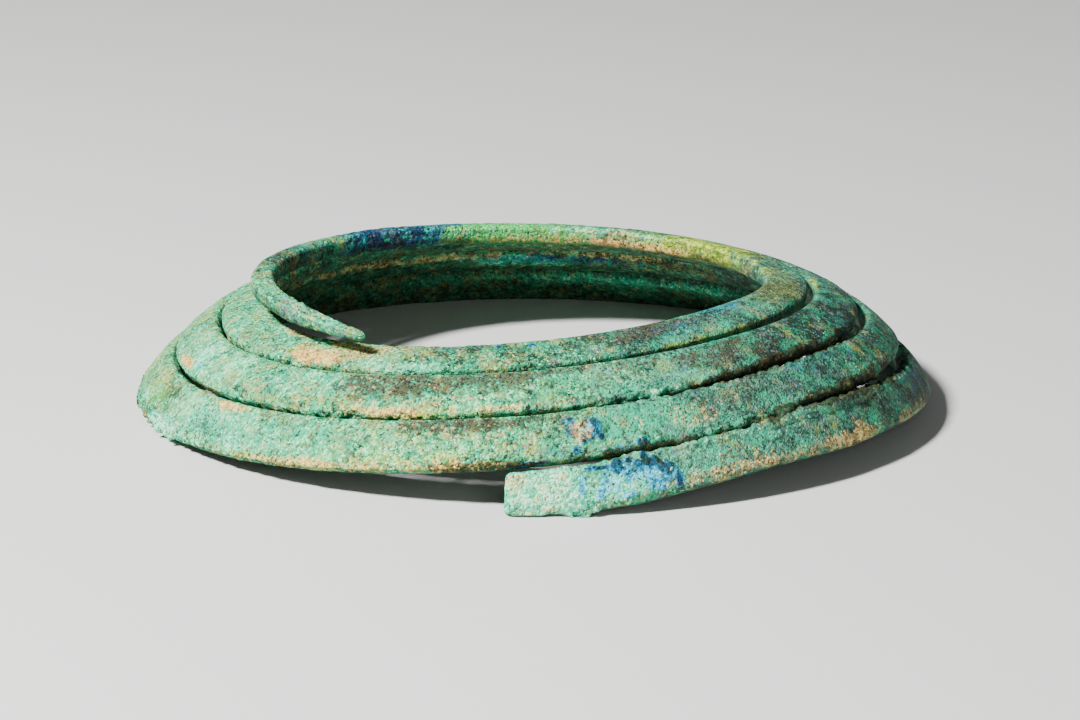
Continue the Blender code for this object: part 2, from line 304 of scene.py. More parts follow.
PATCHES = {
    "azurite": [
        (OUTSIDE, 2.889, -0.10, 2.4, 1.8, 0.62),
        (OUTSIDE, 2.881, 0.00, 2.4, 2.0, 0.66),
        (OUTSIDE, 2.892, -0.38, 0.8, 0.7, 0.85),
        (OUTSIDE, 2.888, 0.55, 0.9, 1.6, 0.75),
        (OUTSIDE, 2.872, 0.72, 3.4, 1.0, 0.60),
        (OUTSIDE, 2.906, 0.96, 4.5, 0.8, 1.0),
        (OUTSIDE, 3.8865, -0.10, 1.0, 1.8, 0.72),
        (OUTSIDE, 3.880, 0.20, 0.9, 1.2, 0.85),
        (OUTSIDE, 3.869, 0.42, 2.2, 0.8, 0.75),
        (OUTSIDE, 3.868, -0.30, 7.0, 1.9, 0.82),
        (OUTSIDE, 3.877, -0.55, 3.6, 0.8, 0.90),
        (OUTSIDE, 3.876, 0.00, 3.4, 1.4, 0.66),
        (OUTSIDE, 3.857, 0.05, 4.4, 2.2, 0.76),
        (OUTSIDE, 3.8495, 0.25, 0.8, 1.8, 0.95),
        (OUTSIDE, 2.106, 0.25, 2.0, 0.9, 0.62),
        (OUTSIDE, 2.066, 0.90, 5.0, 0.6, 0.42),
        (OUTSIDE, 3.150, 0.10, 5.0, 1.6, 0.3),
        (OUTSIDE, 0.925, -0.30, 0.8, 0.7, 0.8),
        (OUTSIDE, 0.905, -0.20, 1.0, 0.6, 0.7),
        (OUTSIDE, 3.770, -0.80, 5.0, 1.2, 0.4),
        (INSIDE, 2.40, 0.1, 9.0, 1.5, 0.35),
        (ALL_ROUND, 0.012, 0.00, 6.0, 5.0, 0.45),
    ],
    "frost": [
        (OUTSIDE, 3.903, 0.00, 8.0, 5.0, 1.25),
        (OUTSIDE, 3.060, 0.20, 26.0, 4.4, 0.52),
        (OUTSIDE, 2.110, 0.10, 16.0, 3.6, 0.52),
        (OUTSIDE, 3.200, 0.30, 16.0, 3.6, 0.35),
        (INSIDE, 2.402, -0.40, 4.0, 1.6, 0.8),
        (INSIDE, 2.388, -0.15, 4.0, 1.4, 0.8),
        (INSIDE, 2.372, -0.45, 3.0, 1.2, 0.7),
        (INSIDE, 2.418, -0.10, 3.4, 1.4, 0.75),
        (INSIDE, 3.450, -0.65, 34.0, 1.0, 0.60),
        (OUTSIDE, 0.455, -0.85, 10.0, 2.4, 0.60),
        (OUTSIDE, 0.500, -0.95, 8.0, 1.4, 0.50),
        (ALL_ROUND, 0.018, 0.00, 7.0, 4.0, 0.30),
        (OUTSIDE, 1.849, 1.00, 1.8, 0.8, 1.0),
        (OUTSIDE, 2.794, 1.00, 2.2, 0.8, 1.0),
        (OUTSIDE, 3.872, 0.10, 8.0, 2.0, 0.80),
        (OUTSIDE, 3.897, 0.30, 3.0, 2.6, 0.8),
        (OUTSIDE, 3.885, 0.75, 5.0, 1.8, 0.7),
        (OUTSIDE, 3.095, 0.75, 12.0, 3.4, 1.0),
        (OUTSIDE, 3.130, 0.40, 5.0, 2.0, 0.6),
        (OUTSIDE, 2.112, 0.20, 4.0, 2.6, 0.8),
        (OUTSIDE, 0.980, 0.75, 8.0, 1.8, 0.55),
        (OUTSIDE, 2.960, 0.10, 14.0, 2.4, 0.35),
        (OUTSIDE, 2.030, -0.10, 12.0, 2.6, 0.3),
    ],
    "ochre": [
        (INSIDE, 2.330, -0.58, 34.0, 1.3, 0.72),
        (INSIDE, 2.450, -0.75, 20.0, 0.8, 0.60),
        (ALL_ROUND, 0.600, -0.75, 6.0, 1.4, 0.45),
        (INSIDE, 0.410, -0.96, 16.0, 0.9, 0.60),
        (OUTSIDE, 3.130, -0.20, 8.0, 3.0, 0.40),
        (OUTSIDE, 2.900, -0.10, 12.0, 3.0, 0.25),
        (OUTSIDE, 1.036, 0.50, 6.5, 2.4, 1.35),
        (OUTSIDE, 1.010, -0.10, 9.0, 2.6, 0.75),
        (OUTSIDE, 1.075, -0.60, 9.0, 2.0, 0.75),
        (OUTSIDE, 2.122, 0.55, 4.6, 1.6, 1.25),
        (OUTSIDE, 1.972, 0.78, 8.0, 1.4, 0.85),
        (OUTSIDE, 1.922, 0.78, 5.0, 1.2, 0.7),
        (OUTSIDE, 1.902, 0.70, 5.0, 1.2, 0.45),
        (OUTSIDE, 3.058, -0.62, 7.0, 1.3, 1.05),
        (OUTSIDE, 2.937, 0.62, 1.6, 1.3, 0.75),
        (OUTSIDE, 3.136, 0.60, 2.0, 1.4, 0.6),
        (OUTSIDE, 3.010, 0.90, 16.0, 1.8, 0.75),
        (OUTSIDE, 2.965, 0.80, 14.0, 2.0, 0.60),
        (OUTSIDE, 3.170, 0.10, 8.0, 3.0, 0.45),
        (OUTSIDE, 1.950, 0.50, 12.0, 1.8, 0.40),
        (ALL_ROUND, 0.050, -0.20, 9.0, 3.0, 0.42),
        (OUTSIDE, 3.912, -0.40, 2.4, 1.6, 0.75),
        (OUTSIDE, 3.8945, -0.42, 1.0, 0.6, 1.0),
        (OUTSIDE, 3.9075, 0.88, 0.7, 0.7, 1.0),
        (OUTSIDE, 3.900, 0.60, 2.0, 1.2, 0.60),
        (OUTSIDE, 3.853, 0.30, 1.6, 0.8, 0.90),
        (OUTSIDE, 3.820, 0.55, 15.0, 2.4, 0.62),
        (OUTSIDE, 3.772, 0.60, 16.0, 2.6, 0.72),
        (OUTSIDE, 3.720, 0.75, 12.0, 2.0, 0.55),
        (OUTSIDE, 3.900, 0.10, 2.6, 1.6, 0.4),
        (OUTSIDE, 0.860, 0.30, 8.0, 1.6, 0.3),
        (OUTSIDE, 2.835, 0.10, 8.0, 2.0, 0.45),
        (OUTSIDE, 2.886, 0.00, 2.6, 1.8, 0.85),
        (INSIDE, 0.490, -0.93, 18.0, 1.0, 1.0),
        (ALL_ROUND, 0.478, -1.00, 10.0, 1.4, 0.45),
    ],
    "rust": [
        (OUTSIDE, 2.930, 0.92, 10.0, 1.3, 1.0),
        (OUTSIDE, 2.905, 1.00, 4.0, 1.0, 0.7),
        (ALL_ROUND, 2.765, 1.05, 26.0, 2.0, 0.9),
        (ALL_ROUND, 1.780, 1.05, 24.0, 1.8, 0.8),
        (ALL_ROUND, 2.860, 1.05, 14.0, 1.6, 0.8),
        (ALL_ROUND, 3.760, -1.08, 44.0, 1.2, 0.8),
        (ALL_ROUND, 2.780, -1.08, 34.0, 1.1, 0.8),
        (ALL_ROUND, 2.800, 1.08, 14.0, 0.9, 0.9),
        (OUTSIDE, 0.720, 0.85, 4.0, 0.9, 0.4),
        (ALL_ROUND, 0.472, -1.00, 4.0, 1.4, 0.55),
    ],
    "umber": [
        (OUTSIDE, 3.695, 0.30, 14.0, 2.4, 0.50),
        (OUTSIDE, 1.975, -0.30, 11.0, 2.4, 1.2),
        (OUTSIDE, 1.925, -0.40, 12.0, 2.0, 1.2),
        (OUTSIDE, 1.895, -0.55, 10.0, 1.4, 0.55),
        (OUTSIDE, 2.940, -0.50, 13.0, 2.0, 1.2),
        (OUTSIDE, 2.900, -0.60, 9.0, 1.2, 0.5),
        (OUTSIDE, 0.950, -0.35, 10.0, 1.6, 0.4),
        (OUTSIDE, 0.830, -0.25, 14.0, 2.0, 0.7),
        (OUTSIDE, 1.850, -0.40, 6.0, 1.6, 0.5),
        (OUTSIDE, 3.070, 0.20, 7.0, 2.0, 0.45),
        (OUTSIDE, 1.800, -0.10, 16.0, 2.6, 0.5),
        (OUTSIDE, 2.800, -0.30, 18.0, 2.8, 0.35),
        (OUTSIDE, 3.745, -0.50, 10.0, 2.4, 0.4),
        (OUTSIDE, 2.058, 0.55, 1.6, 1.0, 0.8),
        (ALL_ROUND, 0.190, 0.00, 14.0, 3.0, 0.4),
    ],
    "sea": [
        (ALL_ROUND, 0.302, -0.60, 11.5, 8.0, 1.70),
        (ALL_ROUND, 0.215, -0.30, 14.0, 6.0, 0.35),
        (ALL_ROUND, 0.346, 0.20, 7.0, 2.4, 1.3),
        (OUTSIDE, 0.775, -0.40, 9.0, 1.8, 0.55),
        (OUTSIDE, 0.820, 0.10, 10.0, 2.4, 0.35),
        (OUTSIDE, 3.690, -0.30, 18.0, 2.4, 0.35),
        (OUTSIDE, 2.760, -0.50, 14.0, 2.4, 0.30),
        (OUTSIDE, 1.700, 0.30, 16.0, 3.0, 0.28),
        (OUTSIDE, 3.200, 0.30, 12.0, 3.0, 0.38),
        (OUTSIDE, 2.060, 0.90, 6.0, 1.0, 0.20),
        (OUTSIDE, 2.900, 0.60, 8.0, 2.0, 0.30),
        (ALL_ROUND, 0.060, 0.00, 10.0, 4.0, 0.45),
        (INSIDE, 2.42, -0.40, 22.0, 1.4, 0.7),
    ],
    "grass": [
        (ALL_ROUND, 0.385, -0.90, 12.0, 5.0, 1.3),
        (ALL_ROUND, 0.430, -0.90, 10.0, 4.0, 0.8),
        (ALL_ROUND, 0.595, -0.70, 5.0, 3.0, 0.5),
        (OUTSIDE, 3.120, 0.10, 10.0, 3.0, 0.5),
        (OUTSIDE, 2.960, 0.40, 14.0, 3.0, 0.3),
        (OUTSIDE, 1.900, 0.30, 14.0, 3.0, 0.3),
    ],
    # Painted shade: places made darker to stand in for the shade that falls there
    "painted_shade": [
        (OUTSIDE, 1.730, 0.10, 30.0, 6.0, 1.6),
        (OUTSIDE, 0.880, 0.00, 32.0, 5.0, 0.75),
        (ALL_ROUND, 0.302, -0.60, 11.0, 8.0, 0.95),
        (OUTSIDE, 2.710, 0.00, 22.0, 6.0, 0.9),
        (OUTSIDE, 0.700, 0.20, 8.0, 4.0, 0.3),
        (ALL_ROUND, 0.175, 0.00, 20.0, 6.0, 0.75),
        (ALL_ROUND, 0.590, -0.30, 2.0, 3.0, 0.7),
        (OUTSIDE, 2.150, 0.00, 10.0, 1.6, 0.3),
        (OUTSIDE, 3.640, 0.20, 20.0, 6.0, 0.2),
        (OUTSIDE, 2.045, 0.20, 3.0, 1.4, 0.5),
        (OUTSIDE, 3.115, -0.30, 7.0, 2.0, 0.5),
    ],
    "verdigris": [
        (OUTSIDE, 1.832, -0.50, 6.5, 1.4, 0.95),
        (OUTSIDE, 1.866, 0.45, 5.5, 1.6, 0.8),
        (OUTSIDE, 0.812, 0.20, 3.0, 0.9, 0.8),
        (OUTSIDE, 2.870, 0.10, 14.0, 3.4, 0.85),
        (ALL_ROUND, 2.818, 1.00, 10.0, 1.4, 1.2),
        (OUTSIDE, 1.080, 0.90, 10.0, 1.2, 0.8),
        (OUTSIDE, 2.075, -0.90, 10.0, 1.2, 0.7),
        (OUTSIDE, 0.790, -0.55, 8.0, 1.4, 0.7),
        (OUTSIDE, 3.870, -0.30, 12.0, 2.6, 0.5),
        (OUTSIDE, 2.745, 0.70, 5.0, 1.6, 0.7),
        (OUTSIDE, 3.085, 0.95, 8.0, 0.9, 0.6),
        (ALL_ROUND, 0.300, -0.70, 17.0, 6.0, 0.35),
        (ALL_ROUND, 0.040, 0.00, 12.0, 4.0, 0.6),
        (OUTSIDE, 3.902, 0.00, 9.0, 5.0, 0.95),
        (OUTSIDE, 3.030, 0.10, 16.0, 3.0, 0.7),
        (OUTSIDE, 3.825, -0.20, 12.0, 2.4, 0.7),
        (OUTSIDE, 2.030, 0.10, 20.0, 3.0, 0.4),
        (INSIDE, 2.42, -0.2, 30.0, 2.0, 0.6),
        (INSIDE, 3.45, -0.6, 40.0, 2.0, 0.9),
    ],
    "olive": [
        (OUTSIDE, 0.700, -0.10, 17.0, 5.0, 0.80),
        (ALL_ROUND, 0.600, -0.60, 9.0, 4.0, 0.6),
        (OUTSIDE, 3.700, 0.10, 12.0, 3.0, 0.4),
        (INSIDE, 2.465, -0.40, 18.0, 2.4, 0.9),
        (INSIDE, 1.45, 0.0, 30.0, 3.0, 0.5),
        (OUTSIDE, 2.895, 0.92, 10.0, 1.0, 0.6),
        (OUTSIDE, 3.108, 0.05, 8.0, 3.0, 0.7),
    ],
    "cream": [
        (ALL_ROUND, 0.560, -0.70, 18.0, 4.5, 0.80),
        (ALL_ROUND, 0.515, -0.90, 9.0, 3.0, 0.8),
        (OUTSIDE, 0.650, -0.70, 8.0, 2.6, 0.4),
        (OUTSIDE, 1.036, 0.40, 7.0, 2.6, 0.7),
        (ALL_ROUND, 0.436, -0.95, 6.0, 2.4, 0.5),
        (OUTSIDE, 0.820, 0.95, 8.0, 0.7, 0.45),
        (OUTSIDE, 0.775, 0.95, 8.0, 0.7, 0.45),
        (OUTSIDE, 1.655, -0.80, 7.0, 1.0, 0.7),
        (OUTSIDE, 1.960, 0.85, 12.0, 1.2, 0.5),
        (OUTSIDE, 2.960, 0.30, 16.0, 3.6, 0.42),
        (OUTSIDE, 3.020, 0.85, 20.0, 1.6, 0.45),
        (OUTSIDE, 2.020, 0.50, 12.0, 2.4, 0.35),
    ],
}

# Dark blue nodules: turn, place across, half length and half width in millimetres
NODULES = [
    (3.8835, -0.58, 1.5, 0.7),
    (3.8735, -0.60, 1.0, 1.2),
    (3.8685, -0.58, 0.8, 1.5),
    (3.8650, -0.50, 0.9, 0.8),
    (3.8615, -0.60, 1.1, 1.9),
    (3.8575, -0.50, 0.9, 1.2),
    (3.8560, -0.22, 1.2, 1.2),
    (3.8525, -0.06, 1.3, 0.9),
    (2.8850, 0.16, 0.6, 1.1),
    (2.8800, -0.12, 0.8, 0.8),
    (2.8775, 0.16, 0.7, 0.8),
    (2.8900, -0.34, 0.8, 0.6),
    (2.8615, 0.62, 1.2, 1.1),
]

# Thick crust: turn, place across, half length and half width in millimetres, height in millimetres
CRUSTS = [
    (OUTSIDE, 2.884, 0.00, 3.4, 2.4, 0.60),
    (OUTSIDE, 2.858, 0.60, 3.0, 1.6, 0.45),
    (OUTSIDE, 3.868, -0.45, 7.0, 1.8, 0.55),
    (OUTSIDE, 3.872, 0.25, 7.0, 1.8, 0.35),
    (ALL_ROUND, 3.8865, 0.90, 1.9, 1.9, 1.25),
    (OUTSIDE, 2.925, 0.95, 13.0, 1.5, 0.40),
    (OUTSIDE, 3.105, 0.75, 16.0, 3.2, 1.0),
    (ALL_ROUND, 3.150, 1.00, 18.0, 2.4, 1.4),
    (ALL_ROUND, 3.178, 0.92, 1.5, 1.3, 1.1),
    (ALL_ROUND, 3.157, 1.00, 1.1, 1.0, 1.2),
    (ALL_ROUND, 3.140, 0.96, 1.6, 1.2, 1.1),
    (ALL_ROUND, 3.118, 1.00, 1.2, 1.0, 1.2),
    (OUTSIDE, 3.030, 0.98, 14.0, 1.4, 0.30),
    (ALL_ROUND, 2.825, 1.02, 12.0, 1.2, 1.00),
    (ALL_ROUND, 2.765, 1.05, 26.0, 1.3, 0.80),
    (ALL_ROUND, 1.840, 1.02, 14.0, 1.2, 0.75),
    (ALL_ROUND, 1.770, 1.05, 26.0, 1.2, 0.70),
    (ALL_ROUND, 3.840, -1.02, 16.0, 1.1, 0.70),
    (ALL_ROUND, 3.780, -1.05, 26.0, 1.4, 0.80),
    (ALL_ROUND, 3.710, -1.05, 22.0, 1.4, 0.60),
    (ALL_ROUND, 2.780, -1.05, 24.0, 1.2, 0.60),
    (ALL_ROUND, 2.850, -1.02, 14.0, 1.0, 0.45),
    (ALL_ROUND, 2.797, 1.00, 1.4, 0.7, 1.40),
    (ALL_ROUND, 1.856, 1.00, 1.2, 0.6, 0.90),
    (OUTSIDE, 1.990, 0.98, 16.0, 1.0, 0.24),
    (OUTSIDE, 1.050, 0.98, 16.0, 1.0, 0.24),
    (ALL_ROUND, 0.620, -0.95, 14.0, 2.0, 0.30),
    (INSIDE, 2.330, -0.58, 34.0, 1.1, 0.50),
    (INSIDE, 2.395, -0.20, 11.0, 1.8, 0.60),
    (INSIDE, 2.465, -0.40, 18.0, 2.4, 0.60),
    (INSIDE, 3.450, -0.65, 40.0, 0.8, 0.60),
    (INSIDE, 1.400, -0.90, 40.0, 1.6, 0.30),
    (INSIDE, 1.420, 0.80, 40.0, 1.6, 0.40),
    (ALL_ROUND, 1.060, 1.00, 26.0, 0.9, 0.45),
    (ALL_ROUND, 1.990, 1.00, 26.0, 0.8, 0.40),
    (ALL_ROUND, 0.060, 0.20, 7.0, 4.0, 0.22),
]

# Little holes and chips that go in: turn, place across, radius and depth in millimetres
HOLES = [
    (OUTSIDE, 1.989, 0.92, 0.42, 0.55),
    (OUTSIDE, 2.985, -0.20, 0.38, 0.45),
    (OUTSIDE, 3.882, 0.62, 0.55, 0.40),
    (OUTSIDE, 0.915, 0.30, 0.30, 0.30),
    (OUTSIDE, 1.905, 0.75, 0.35, 0.30),
    (OUTSIDE, 2.060, 0.40, 0.55, 0.25),
    (ALL_ROUND, 3.898, 0.95, 1.6, 0.35),
]

# How ragged the borders of patches are, and how far a patch fades out, as shares of its size
RAGGED = 0.55
RAGGED_NODULE = 0.3
RAGGED_CRUST = 0.8
RAGGED_HOLE = 0.25
FADES_OUT_AT = 1.35
WANDER_SIZE_MM = 2.6

# The side where the patina is dark and smooth, and how much of the roughness goes there
SMOOTH_AZIMUTH = math.radians(-8.0)
SMOOTHED = 0.65

# Lumps that roughen the surface: height and size in millimetres, seed, layers
SWELLS = (0.10, 7.0, 21, 2)
LUMPS = [(0.080, 2.2, 31, 2), (0.085, 0.9, 41, 1)]

# Sizes, heights and depths of the relief, in millimetres
KNOB_SIZE_MM = 2.1
GRAIN_SIZE_MM = 1.0
GRAIN_HEIGHT_MM = 0.07
PIT_SIZE_MM = 2.4
PIT_DEPTH_MM = 0.09
NODULE_HEIGHT_MM = 0.55
GROOVE_DEPTH_MM = 0.3
GROOVE_ACROSS = 0.35
GROOVE_HALF_WIDTH = 0.16
GROOVE_ENDS_TURN = 0.12

# Hollow under the knobs on the left, and crust that narrows the lowest slit: depth or height, and the place
LEFT_HOLLOW_MM = 0.85
LEFT_HOLLOW = (ALL_ROUND, 3.15, 1.0, 22.0, 2.6, 0.3)
SLIT_LEDGE_MM = 1.0
SLIT_LEDGE = (ALL_ROUND, 3.785, -1.1, 30.0, 1.5, 0.3)

# The colour layers of the mesh and what each holds; the fourth also holds the painted shade
COLOUR_LAYERS = {
    "corrosion_one": ("azurite", "frost", "ochre", "cream"),
    "corrosion_two": ("rust", "umber", "verdigris", "olive"),
    "corrosion_three": ("smooth", "crusted", "stand", "edge"),
    "corrosion_four": ("outside", "painted_shade", "grass", "sea"),
}
STRIP_PLACE = "strip_place"
FULL_CRUST_MM = 0.35
STAND_RANGE_MM = 0.42


class Skin:
    """A stretch of the strip's surface, with what corrosion did to it at each point."""

    def __init__(self, turn, angle, inset):
        self.turn = turn
        self.angle = angle
        self.points = strip_surface(turn, angle, inset + SKIN_INSET)
        self.normals = surface_normals(self.points)
        self.across = -np.cos(angle)[None, :] * np.ones((len(turn), 1))
        self.outside = ease(0.5 - 1.6 * np.sin(angle))[None, :] * np.ones((len(turn), 1))
        self.radius = edge_radius(turn)[:, None]
        self.half_width = (np.linalg.norm(inner_edge(turn) - outer_edge(turn), axis=-1) / 2.0)[:, None]
        self.wander = lumps(self.points, WANDER_SIZE_MM, 11, 3)

    def nearness(self, side, turn, across, half_length_mm, half_width_mm, ragged=RAGGED):
        """1 in the middle of a patch, falling to 0 at its ragged border."""
        along = (self.turn[:, None] - turn) * 2.0 * math.pi * self.radius / (half_length_mm * MM)
        over = (self.across - across) * self.half_width / (half_width_mm * MM)
        distance = np.sqrt(along**2 + over**2) + ragged * self.wander
        near = ease(FADES_OUT_AT - distance)
        if side == OUTSIDE:
            return near * self.outside
        if side == INSIDE:
            return near * (1.0 - self.outside)
        return near

    def amount(self, kind):
        """How much of a kind of corrosion, or of painted shade, there is, from 0 to 1."""
        total = np.zeros_like(self.across)
        for side, turn, across, half_length, half_width, strength in PATCHES[kind]:
            total = np.maximum(total, strength * self.nearness(side, turn, across, half_length, half_width))
        if kind == "azurite":
            total = np.maximum(total, self.nodules())
        return total

    def nodules(self):
        """1 on the dark blue nodules, falling to 0 beside them."""
        total = np.zeros_like(self.across)
        for turn, across, half_length, half_width in NODULES:
            near = self.nearness(OUTSIDE, turn, across, half_length, half_width, RAGGED_NODULE)
            total = np.maximum(total, near)
        return total

    def smooth_side(self):
        """1 on the right of the armlet, where the patina is dark and smooth, and 0 on the left."""
        facing = np.cos(azimuth(self.turn) - SMOOTH_AZIMUTH)[:, None]
        return ease((facing + 0.28 * self.wander + 0.05) / 0.75) * np.ones_like(self.across)

    def crust(self):
        """Height of the thick crust."""
        total = np.zeros_like(self.across)
        for side, turn, across, half_length, half_width, height_mm in CRUSTS:
            near = self.nearness(side, turn, across, half_length, half_width, RAGGED_CRUST)
            total = np.maximum(total, height_mm * MM * near)
        return total

    def holes(self):
        """Depth of the little holes."""
        total = np.zeros_like(self.across)
        for side, turn, across, radius_mm, depth_mm in HOLES:
            near = self.nearness(side, turn, across, radius_mm, radius_mm, RAGGED_HOLE)
            total = np.maximum(total, depth_mm * MM * near)
        return total

    def tip_groove(self):
        """Depth of the groove that runs down the outer face of the thin tip."""
        fade = ease((GROOVE_ENDS_TURN - self.turn) / 0.04)[:, None] * ease(self.turn / 0.012)[:, None]
        groove = np.exp(-(((self.across - GROOVE_ACROSS) / GROOVE_HALF_WIDTH) ** 2)) * self.outside
        return GROOVE_DEPTH_MM * MM * fade * groove

    def relief(self):
        """How far the real surface stands out from the smooth strip, and the height of its crust."""
        roughness = 1.0 - SMOOTHED * self.smooth_side()
        crust = self.crust()
        height_mm, *kind = SWELLS
        height = height_mm * MM * lumps(self.points, *kind)
        for height_mm, *kind in LUMPS:
            height = height + height_mm * MM * roughness * lumps(self.points, *kind)
        knobs, _ = grains(self.points, KNOB_SIZE_MM, 51)
        fine, _ = grains(self.points, GRAIN_SIZE_MM, 61)
        bumpy = 0.55 * ease(1.15 - knobs) + 0.45 * ease(1.1 - fine) + 0.35 * lumps(self.points, 0.9, 71, 2)
        height = height + crust * (1.4 * bumpy - 0.3)
        height = height + GRAIN_HEIGHT_MM * MM * roughness * (ease(1.1 - fine) - 0.4)
        height = height + NODULE_HEIGHT_MM * MM * self.nodules() * (0.6 + 0.5 * bumpy)
        height = height - LEFT_HOLLOW_MM * MM * self.nearness(*LEFT_HOLLOW)
        height = height + SLIT_LEDGE_MM * MM * self.nearness(*SLIT_LEDGE)
        pits, which = grains(self.points, PIT_SIZE_MM, 81)
        pitted = ease((0.34 - pits) / 0.2) * (which > 0.55)
        height = height - PIT_DEPTH_MM * MM * roughness * pitted
        return height - self.holes() - self.tip_groove(), crust


def ring_angles():
    """Angles round the section, closer together on the outer face."""
    outer = math.pi + math.pi * np.arange(OUTER_FACE_POINTS) / OUTER_FACE_POINTS
    inner = math.pi * np.arange(INNER_FACE_POINTS) / INNER_FACE_POINTS
    return np.concatenate([inner, outer])


def stations():
    """Places along the strip and how far the section is drawn in there, as in the solid model but finer."""
    tip_turns = TIP_ROUNDING / (2.0 * math.pi * edge_radius(0.0))
    end_turns = END_ROUNDING / (2.0 * math.pi * edge_radius(TURNS))
    turns, insets = [], []
    for step in range(ROUNDING_STEPS):
        angle = 0.5 * math.pi * step / ROUNDING_STEPS
        turns.append(tip_turns * (1.0 - math.cos(angle)))
        insets.append((1.0 - math.sin(angle)) * TIP_THICKNESS / 2.0)
    turn = tip_turns
    while turn < TURNS - end_turns:
        turns.append(turn)
        insets.append(0.0)
        turn += STATION_STEP / (2.0 * math.pi * float(edge_radius(turn)))
    for step in reversed(range(ROUNDING_STEPS)):
        angle = 0.5 * math.pi * step / ROUNDING_STEPS
        turns.append(TURNS - end_turns * (1.0 - math.cos(angle)))
        insets.append((1.0 - math.sin(angle)) * END_ROUNDING)
    for step in range(1, END_FACE_STEPS + 1):
        turns.append(TURNS)
        insets.append(END_ROUNDING + (STRIP_THICKNESS / 2.0 - END_ROUNDING) * step / (END_FACE_STEPS + 0.6))
    return np.array(turns), np.array(insets)


def hold_in_box(points):
    """Keep the crust within the solid model's outline and off the table's underside."""
    low, high = np.array(cad_box[0]), np.array(cad_box[1])
    return np.clip(points, low, high)


def strip_piece(name, points, normals, tints):
    """Mesh of one stretch of the strip, closed at both ends."""
    rows, columns = points.shape[:2]
    index = np.arange(rows * columns).reshape(rows, columns)
    beside = np.roll(index, -1, axis=1)
    quads = np.stack([index[:-1], beside[:-1], beside[1:], index[1:]], axis=-1).reshape(-1, 4)
    faces = quads.tolist()
    faces.append(index[0][::-1].tolist())
    faces.append(index[-1].tolist())
    mesh = bpy.data.meshes.new(name)
    mesh.from_pydata(points.reshape(-1, 3).tolist(), [], faces)
    mesh.update()
    for tint, values in tints.items():
        layer = mesh.attributes.new(tint, "FLOAT_COLOR", "POINT")
        layer.data.foreach_set("color", values.reshape(-1).astype(np.float32))
    mesh.shade_smooth()
    mesh.normals_split_custom_set_from_vertices(normals.reshape(-1, 3).tolist())
    piece = bpy.data.objects.new(name, mesh)
    bpy.context.scene.collection.objects.link(piece)
    return piece


def armlet_pieces():
    turn, inset = stations()
    angle = ring_angles()
    skin = Skin(turn, angle, inset)
    height, crust = skin.relief()
    points = hold_in_box(skin.points + skin.normals * height[..., None])
    normals = surface_normals(points)
    tints = corrosion_tints(skin, height, crust)
    pieces, first = [], 0
    for name, end in PIECE_ENDS.items():
        last = len(turn) - 1 if end == TURNS else int(np.searchsorted(turn, end))
        stretch = slice(first, last + 1)
        chosen = {tint: values[stretch] for tint, values in tints.items()}
        pieces.append(strip_piece("armlet_" + name, points[stretch], normals[stretch], chosen))
        first = last
    return pieces


def corrosion_tints(skin, height, crust):
    """The kinds of corrosion and the painted shade at each point, four to a colour layer."""
    found = {kind: skin.amount(kind) for kind in PATCHES}
    found["smooth"] = skin.smooth_side()
    found["crusted"] = np.clip(crust / (FULL_CRUST_MM * MM), 0.0, 1.0)
    found["stand"] = np.clip(0.52 + (height - 0.7 * crust) / (STAND_RANGE_MM * MM), 0.0, 1.0)
    found["edge"] = ease((np.abs(skin.across) - 0.88) / 0.12) * skin.outside
    found["outside"] = skin.outside
    layers = {name: [found[kind] for kind in kinds] for name, kinds in COLOUR_LAYERS.items()}
    along_mm = skin.turn[:, None] * 2.0 * math.pi * skin.radius / MM * np.ones_like(skin.across)
    over_mm = skin.across * skin.half_width / MM
    layers[STRIP_PLACE] = [along_mm, over_mm, skin.outside, skin.outside]
    return {name: np.stack(values, axis=-1) for name, values in layers.items()}


# Materials


def colour(red, green, blue):
    """A colour given as it looks on a screen, in steps from 0 to 255."""
    return tuple((step / 255.0) ** 2.2 for step in (red, green, blue)) + (1.0,)


class Value:
    """A number or colour that varies over the surface. Sums on numbers add the nodes for them."""

    def __init__(self, paint, socket):
        self.paint = paint
        self.socket = socket

    def calculate(self, operation, *values):
        return self.paint.node("ShaderNodeMath", {"operation": operation}, dict(enumerate(values)))

    def __add__(self, other):
        return self.calculate("ADD", self, other)

    __radd__ = __add__

    def __sub__(self, other):
        return self.calculate("SUBTRACT", self, other)

    def __rsub__(self, other):
        return self.calculate("SUBTRACT", other, self)

    def __mul__(self, other):
        return self.calculate("MULTIPLY", self, other)

    __rmul__ = __mul__

    def above(self, low, high):
        """0 below the low limit, 1 above the high one, and smooth between them."""
        settings = {"interpolation_type": "SMOOTHSTEP"}
        inputs = {"Value": self, "From Min": low, "From Max": high}
        return self.paint.node("ShaderNodeMapRange", settings, inputs)


# How far Blender's noise, which keeps near the middle, is spread to reach from 0 to 1
NOISE_SPREAD = 2.3


